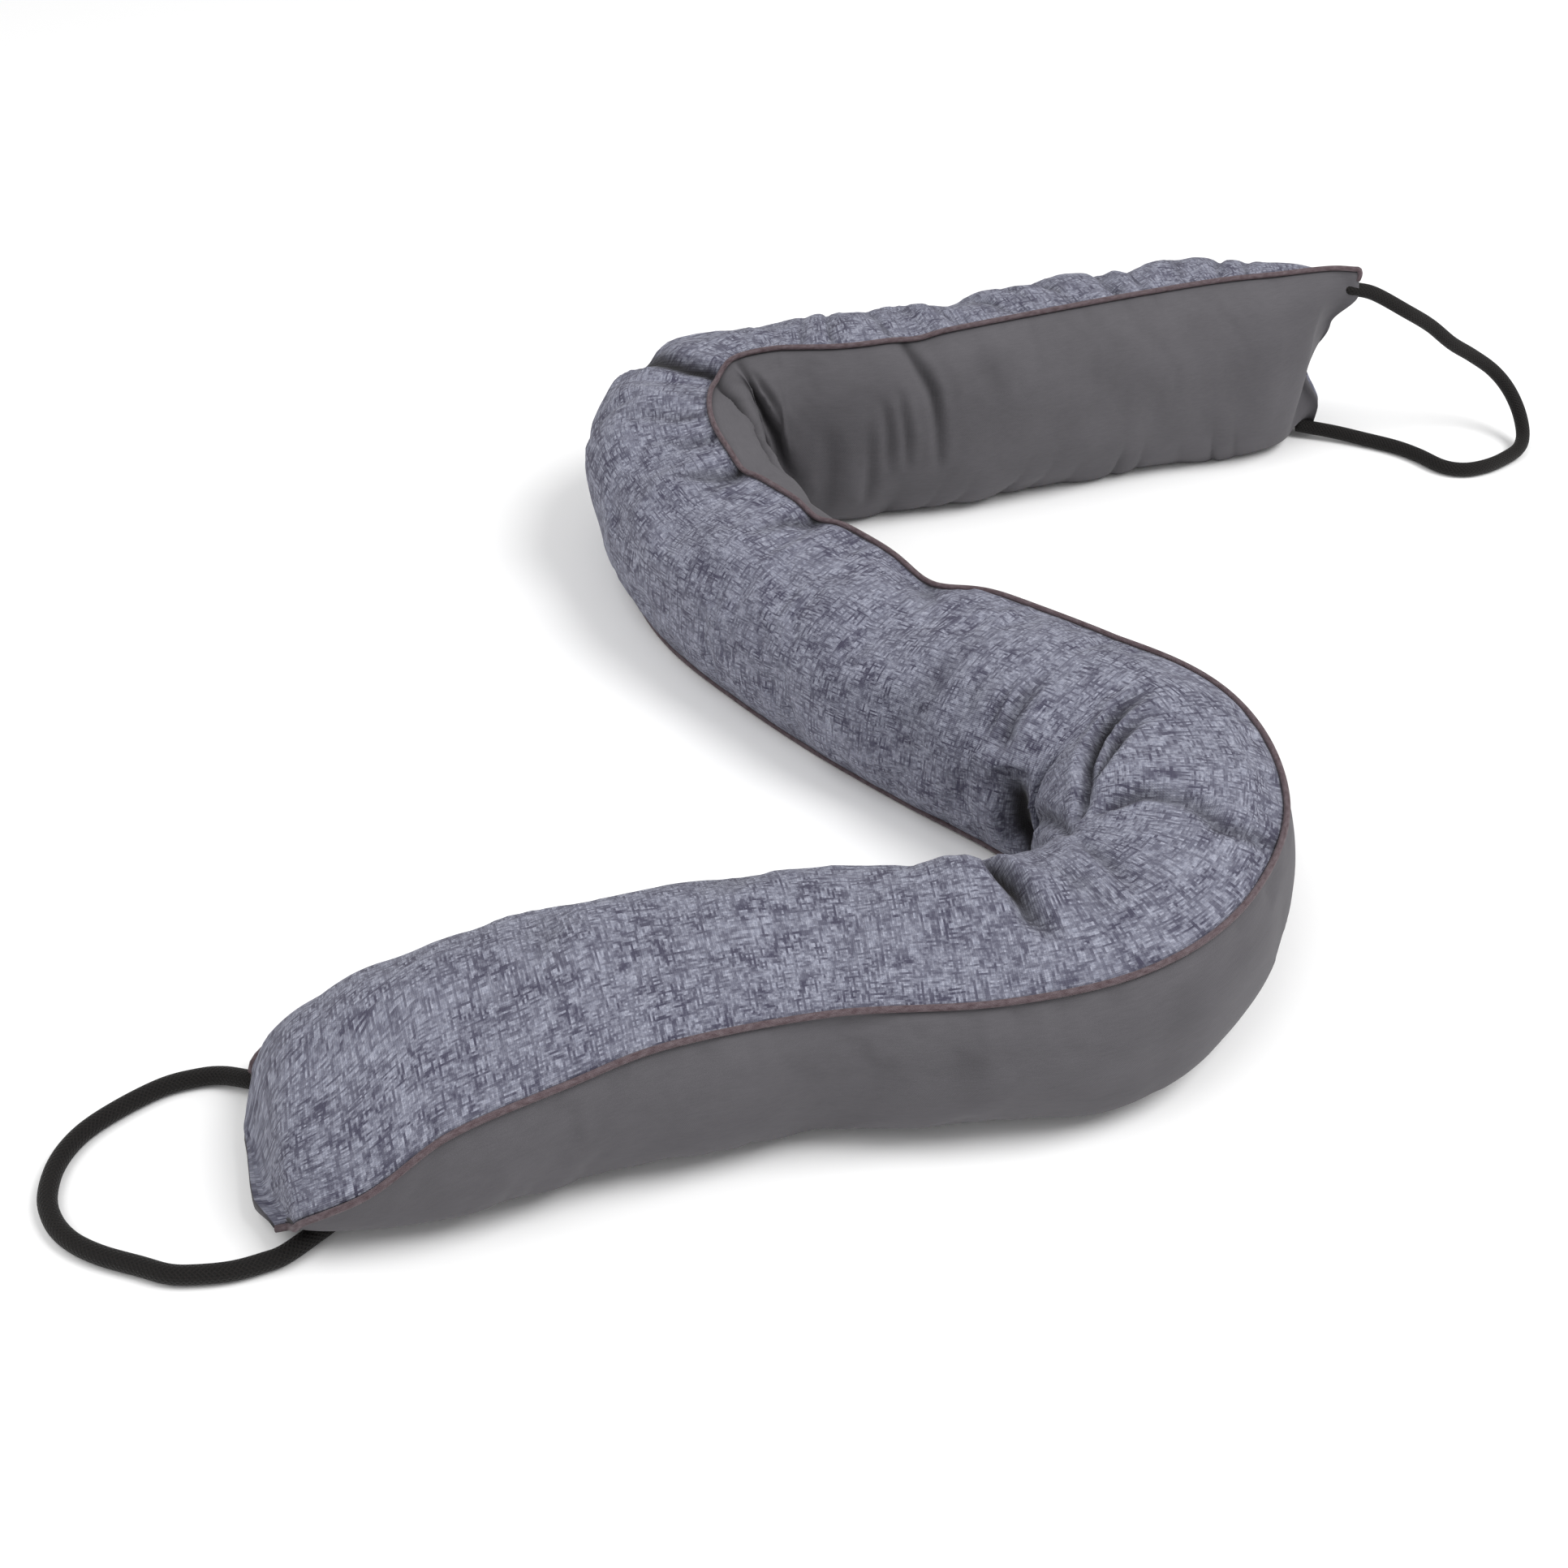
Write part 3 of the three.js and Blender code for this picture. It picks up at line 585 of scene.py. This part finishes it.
def outline(degrees):
    """The plump outline at the given angles of every ring: offset to the right and height."""
    angle = np.radians(degrees)
    c, s = np.cos(angle), np.sin(angle)
    power = 2 / SQUARENESS
    side = np.where(c > 0, RIGHT, LEFT)
    rise = np.where(s > 0, TALL - WAIST, WAIST + FLOOR_SINK)
    upper, lower = (np.abs((degrees - seam + 540) % 360 - 180) for seam in (UPPER, LOWER))
    dip = SEAM_DIP * np.exp(-(upper / DIP_SPREAD) ** 2)
    ridge = SEAM_RIDGE * np.exp(-np.minimum(upper, lower) / SEAM_RIDGE_SPREAD) - dip
    x = side * np.sign(c) * np.abs(c) ** power + ridge * c
    z = WAIST + rise * np.sign(s) * np.abs(s) ** power + ridge * s
    room = BEND_ROOM / np.maximum(np.abs(TURN_C), 1e-6)
    held = x / (1 + (np.abs(x) / room) ** BEND_SOFTNESS) ** (1 / BEND_SOFTNESS)
    x = np.where(TURN_C * x < 0, held, x)
    return np.stack([x, np.maximum(z, 0)], -1)


def crease(q):
    """The depth of a fold at q half-widths from its line: a narrow valley between two low lips."""
    r = np.sqrt(q ** 2 + 0.06)
    return 1.5 * np.exp(-1.8 * r) - 0.2 * np.exp(-((r - 1.5) / 0.7) ** 2)


def fold_depth(folds, along, across):
    """The depth of all folds together, and the painted shade at the bottom of each, nearly black where a fold
    is deep.
    """
    total, dark = 0, np.zeros_like(across)
    for wide, route in folds:
        deepest = np.zeros_like(across)
        for (a, c, deep), (a_end, c_end, deep_end) in zip(route, route[1:]):
            run = np.array([a_end - a, (c_end - c) * STRIP_WIDTH])
            dx, dy = along - a, (across - c) * STRIP_WIDTH
            share = np.clip((dx * run[0] + dy * run[1]) / (run @ run), 0, 1)
            q = np.hypot(dx - share * run[0], dy - share * run[1]) / wide
            level = deep + (deep_end - deep) * share
            here = level * crease(q)
            deepest = np.where(np.abs(here) > np.abs(deepest), here, deepest)
            # Painted shade, darkest along each fold's line and deepest folds.
            dark = np.maximum(dark, level / PAINTED_SHADE_DEPTH * np.exp(-(q / PAINTED_SHADE_WIDTH) ** 2))
        total = total + deepest
    return total, dark


def smoothstep(value, low, high):
    t = np.clip((value - low) / (high - low), 0, 1)
    return t * t * (3 - 2 * t)


def pucker_depth(rows, along, across):
    """Rounded lobes with narrow valleys between them, at a wandering pitch, and the painted shade in the
    valleys.
    """
    total, dark = 0, 0
    for start, until, middle, spread, pitch, deep in rows:
        ends = smoothstep(along, start, start + pitch) * (1 - smoothstep(along, until - pitch, until))
        lean = 0.3 * STRIP_WIDTH * (across - middle) * np.sin(along / 37)
        turns = np.pi * (along + lean) / pitch
        wave = (1 - np.abs(np.sin(turns + 0.65 * np.sin(turns / 1.35)))) ** 1.5
        size = 0.7 + 0.3 * np.sin(turns / 1.65 + pitch)
        here = deep * ends * size * np.exp(-((across - middle) / spread) ** 2)
        total = total + here * wave
        # Painted shade in the valleys between the lobes.
        dark = dark + here / PAINTED_SHADE_DEPTH * wave ** 3 * 0.8
    return total, dark


def swell(along, across):
    total = 0
    for length, direction, start, height in SWELLS:
        angle = math.radians(direction)
        way = along * math.cos(angle) + across * STRIP_WIDTH * math.sin(angle)
        total = total + height * np.sin(2 * np.pi * way / length + start)
    return total


def edge_reach(edge, across):
    reach = np.zeros_like(across)
    for (c0, r0), (c1, r1) in zip(edge, edge[1:]):
        here = (across >= c0) & (across <= c1)
        reach = np.where(here, r0 + (r1 - r0) * smoothstep(across, c0, c1), reach)
    return reach


def placed(flat, across, more=0.0):
    """Offsets and heights of every ring, as points in the tables' frame."""
    near = np.arange(len(ALONG))[:, None] < len(ALONG) / 2
    reach = np.where(near, -edge_reach(NEAR_EDGE, across) - more, edge_reach(FAR_EDGE, across) + more)
    push = (1 - FULL) * reach
    c, s = np.cos(HEADING)[:, None], np.sin(HEADING)[:, None]
    x, z = flat[..., 0], flat[..., 1]
    return np.stack([X + x * s + push * c, Y - x * c + push * s, np.maximum(z, 0)], -1)


def normalized(v):
    return v / np.maximum(np.linalg.norm(v, axis=-1, keepdims=True), 1e-9)


def settled(cloth, rising):
    """How far a cloth simulation moves each point of a panel's cloth side, in millimetres.

    The cloth is a little larger than the filling's outline, held at its seams and ends, and pressed out from
    inside. Its even swelling is taken off again, so that what stays is its slack, bulges and wrinkles.
    """
    rows = np.unique(np.append(np.arange(0, len(cloth), SIM_SPACING), len(cloth) - 1))
    columns = np.unique(np.append(np.arange(0, PANEL_STEPS + 1, SIM_SPACING), PANEL_STEPS))
    grid = cloth[np.ix_(rows, columns)] * MM
    count, width = grid.shape[:2]
    index = np.arange(count * width).reshape(count, width)
    quads = np.stack([index[:-1, :-1], index[1:, :-1], index[1:, 1:], index[:-1, 1:]], -1).reshape(-1, 4)
    if not rising:
        quads = quads[:, ::-1]
    mesh = bpy.data.meshes.new("settling")
    mesh.from_pydata(grid.reshape(-1, 3).tolist(), [], quads.tolist())
    sheet = bpy.data.objects.new("settling", mesh)
    bpy.context.scene.collection.objects.link(sheet)
    held = np.concatenate([index[:, 0], index[:, -1], index[0], index[-1]])
    sheet.vertex_groups.new(name="held").add([int(i) for i in np.unique(held)], 1.0, "REPLACE")
    modifier = sheet.modifiers.new("cloth", "CLOTH")
    cloth_settings = modifier.settings
    cloth_settings.quality = 6
    cloth_settings.mass = 0.25
    cloth_settings.tension_stiffness = 12
    cloth_settings.compression_stiffness = 12
    cloth_settings.shear_stiffness = 4
    cloth_settings.bending_stiffness = 0.05
    cloth_settings.shrink_min = -CLOTH_SLACK
    cloth_settings.vertex_group_mass = "held"
    cloth_settings.use_pressure = True
    cloth_settings.uniform_pressure_force = 4
    cloth_settings.effector_weights.gravity = 0
    modifier.collision_settings.use_collision = False
    for step in range(1, SIM_FRAMES + 1):
        bpy.context.scene.frame_set(step)
    shown = sheet.evaluated_get(bpy.context.evaluated_depsgraph_get()).data
    after = np.empty(count * width * 3)
    shown.vertices.foreach_get("co", after)
    moved = (after.reshape(count, width, 3) - grid) / MM
    bpy.data.objects.remove(sheet)
    bpy.data.meshes.remove(mesh)
    bpy.context.scene.frame_set(1)
    window = np.ones(2 * SIM_EVEN + 1)
    even = np.stack([np.convolve(np.pad(moved[:, k, axis], SIM_EVEN, "edge"), window, "valid")
                     for k in range(width) for axis in range(3)], -1) / len(window)
    moved = moved - even.reshape(count, width, 3)
    size = np.linalg.norm(moved, axis=-1, keepdims=True)
    moved = moved * np.minimum(1, SIM_CAP / np.maximum(size, 1e-9))
    full = np.stack([np.interp(np.arange(len(cloth)), rows, moved[:, k, axis])
                     for k in range(width) for axis in range(3)], -1).reshape(len(cloth), width, 3)
    return np.stack([np.stack([np.interp(np.arange(PANEL_STEPS + 1), columns, full[r, :, axis])
                               for axis in range(3)], -1) for r in range(len(cloth))])


def cloth_points(upper):
    """The cloth side and the parting side of one panel, for every ring."""
    start_angle, end_angle = UPPER, (LOWER if upper else LOWER - 360)
    across = np.linspace(0, 1, PANEL_STEPS + 1)[None, :] * np.ones_like(ALONG_C)
    degrees = start_angle + (end_angle - start_angle) * across
    start = outline(UPPER)
    parting = outline(LOWER) - start
    sign = 1 if upper else -1
    outward = normalized(np.stack([parting[..., 1], -parting[..., 0]], -1)) * sign
    cloth = outline(degrees) - start
    slope = outline(degrees + SLOPE_DEGREES) - outline(degrees - SLOPE_DEGREES)
    inward = normalized(np.stack([-slope[..., 1], slope[..., 0]], -1))
    folds, fold_painted_shade = fold_depth(PATTERNED_FOLDS if upper else PLAIN_FOLDS, ALONG_C, across)
    puckers, pucker_painted_shade = pucker_depth(PATTERNED_PUCKERS if upper else PLAIN_PUCKERS, ALONG_C, across)
    bulges = sum(deep * np.exp(-((ALONG_C - at) / run) ** 2 - ((across - middle) / spread) ** 2)
                 for at, run, middle, spread, deep in (PATTERNED_BULGES if upper else PLAIN_BULGES))
    depth = folds + puckers + swell(ALONG_C + (0 if upper else 400), across) - bulges
    inner = np.sqrt(np.clip(np.sin(np.pi * across), 0, 1))
    from_seam = np.minimum(across, 1 - across) * STRIP_WIDTH
    # Painted shade along both seams, where the cloth meets the piping, added to the painted shade of folds
    # and puckers.
    seam_painted_shade = SEAM_PAINTED_SHADE * np.exp(-(from_seam / SEAM_PAINTED_SHADE_WIDTH) ** 2)
    shade = np.clip(fold_painted_shade + pucker_painted_shade + seam_painted_shade, 0, 1)
    more = 0.0 if upper else PLAIN_OVERHANG

    def filled(shape):
        """A cloth side over its filling, flattened towards the parting at the sewn ends."""
        plump = np.maximum((shape * outward).sum(-1), 0)
        share = (shape * parting).sum(-1) / (parting ** 2).sum(-1)
        flat_share = across + (share - across) * FULL
        thick = GAP / 2 + np.maximum(plump * FULL, inner * EDGE_THICKNESS)
        flat = start + parting * flat_share[..., None] + outward * thick[..., None]
        return placed(flat, across, more)

    front = filled(cloth + inward * (depth * inner)[..., None])
    ease = np.interp(ALONG_C, *np.array(PATTERNED_EASE if upper else PLAIN_EASE, float).T)
    off_floor = smoothstep(front[..., 2], FLOOR_HELD, FLOOR_EASE)
    front = front + settled(filled(cloth), upper) * (ease * off_floor)[..., None]
    front[..., 2] = np.maximum(front[..., 2], 0)
    back_across = np.linspace(0, 1, BACK_STEPS + 1)[None, :] * np.ones_like(ALONG_C)
    back = start + parting * back_across[..., None] + outward * (GAP / 2)
    return front, placed(back, back_across, more), shade


def panel(name, upper, slot):
    """One panel as a closed piece: the cloth, its parting side, and its two end edges."""
    front, back, shade = cloth_points(upper)
    rings = front.shape[0]
    loop = np.concatenate([front, back[:, -2:0:-1]], axis=1)
    shade = np.concatenate([shade, np.zeros_like(back[:, -2:0:-1, 0])], axis=1)
    around = loop.shape[1]
    girth = np.concatenate([[0], np.cumsum(np.linalg.norm(np.diff(front, axis=1), axis=2).mean(0))])
    v = np.concatenate([girth, np.linspace(girth[-1], 0, BACK_STEPS + 1)[1:-1]]) * MM
    points = [at_home(p) for p in loop.reshape(-1, 3)]
    faces, uvs = [], []
    for r in range(rings - 1):
        u0, u1 = ALONG[r] * MM, ALONG[r + 1] * MM
        for i in range(around):
            j = (i + 1) % around
            face = [r * around + i, r * around + j, (r + 1) * around + j, (r + 1) * around + i]
            corners = [(u0, v[i]), (u0, v[j]), (u1, v[j]), (u1, v[i])]
            if upper:
                face.reverse()
                corners.reverse()
            faces.append(tuple(face))
            uvs += corners
    for r, first in ((0, True), (rings - 1, False)):
        base = r * around
        for i in range(PANEL_STEPS):
            behind = [base + (around - round(k * BACK_STEPS / PANEL_STEPS)) % around for k in (i + 1, i)]
            edge = [base + i, base + i + 1, *behind]
            edge = [point for k, point in enumerate(edge) if point not in edge[:k]]
            if first != upper:
                edge.reverse()
            faces.append(tuple(edge))
            uvs += [(ALONG[r] * MM, v[i])] * len(edge)
    piece = mesh_object(name, points, faces, uvs, slot)
    # The crease attribute is painted shade: it darkens the cloth's colour in folds, pucker valleys and along
    # the seams.
    painted_crease_shade = piece.data.attributes.new("crease", "FLOAT", "POINT")
    painted_crease_shade.data.foreach_set("value", shade.ravel())
    return piece


def piping_centres(upper):
    """The piping's middle line: just outside the seam, and clear of the floor."""
    seam = outline(UPPER if upper else LOWER)[:, 0]
    reach = UPPER_REACH if upper else LOWER_REACH
    seat = normalized(seam - np.stack([np.zeros(len(seam)), WAIST[:, 0]], -1)) * reach
    lifted = np.maximum(seat[:, 1], PIPING_RADIUS + 0.1 - seam[:, 1])
    across = np.full((len(seam), 1), 0.0 if upper else 1.0)
    return placed((seam + np.stack([seat[:, 0], lifted], -1))[:, None, :], across)[:, 0]


def turned_down(line):
    """The upper piping's line with its turn down round the far corner."""
    heading = HEADING[-1]
    turn = [line[-1] + np.array([out * math.cos(heading), out * math.sin(heading), -drop])
            for out, drop in PIPING_TURN]
    return np.concatenate([line, turn])


patterned = panel("patterned_cover", True, "patterned_cloth")
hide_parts("patterned_panel")
plain = panel("plain_cover", False, "plain_cloth")
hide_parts("plain_panel")

upper_line = [at_home(p) for p in turned_down(piping_centres(True))]
upper_piping = tube("seam_piping_upper", upper_line, PIPING_RADIUS * MM, PIPING_SIDES, "piping_cloth")
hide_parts("piping_upper")
lower_line = [at_home(p) for p in piping_centres(False)]
lower_piping = tube("seam_piping_lower", lower_line, PIPING_RADIUS * MM, PIPING_SIDES, "piping_cloth")
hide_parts("piping_lower")

# Floor and light
floor_mesh = bpy.data.meshes.new("floor")
floor_mesh.from_pydata([(-6, -6, 0), (6, -6, 0), (6, 6, 0), (-6, 6, 0)], [], [(0, 1, 2, 3)])
floor = bpy.data.objects.new("floor", floor_mesh)
bpy.context.scene.collection.objects.link(floor)
floor_material, floor_nodes, floor_links, floor_shader = new_material("floor")
floor_shader.inputs["Base Color"].default_value = (0.975, 0.975, 0.975, 1)
floor_shader.inputs["Roughness"].default_value = 0.9
floor_mesh.materials.append(floor_material)

world = bpy.data.worlds.new("world")
bpy.context.scene.world = world
world.use_nodes = True
world.node_tree.nodes["Background"].inputs[0].default_value = (1, 1, 1, 1)
world.node_tree.nodes["Background"].inputs[1].default_value = 0.55


def area_light(name, place, target, size, power):
    data = bpy.data.lights.new(name, "AREA")
    data.shape = "DISK"
    data.size = size
    data.energy = power
    light = bpy.data.objects.new(name, data)
    bpy.context.scene.collection.objects.link(light)
    light.location = place
    light.rotation_euler = (Vector(target) - Vector(place)).to_track_quat("-Z", "Y").to_euler()
    return light


area_light("key", (1.3, -0.35, 2.0), (0, 0, 0), 1.3, 36)
area_light("fill", (-0.9, -0.5, 1.8), (0, 0, 0), 1.6, 14)
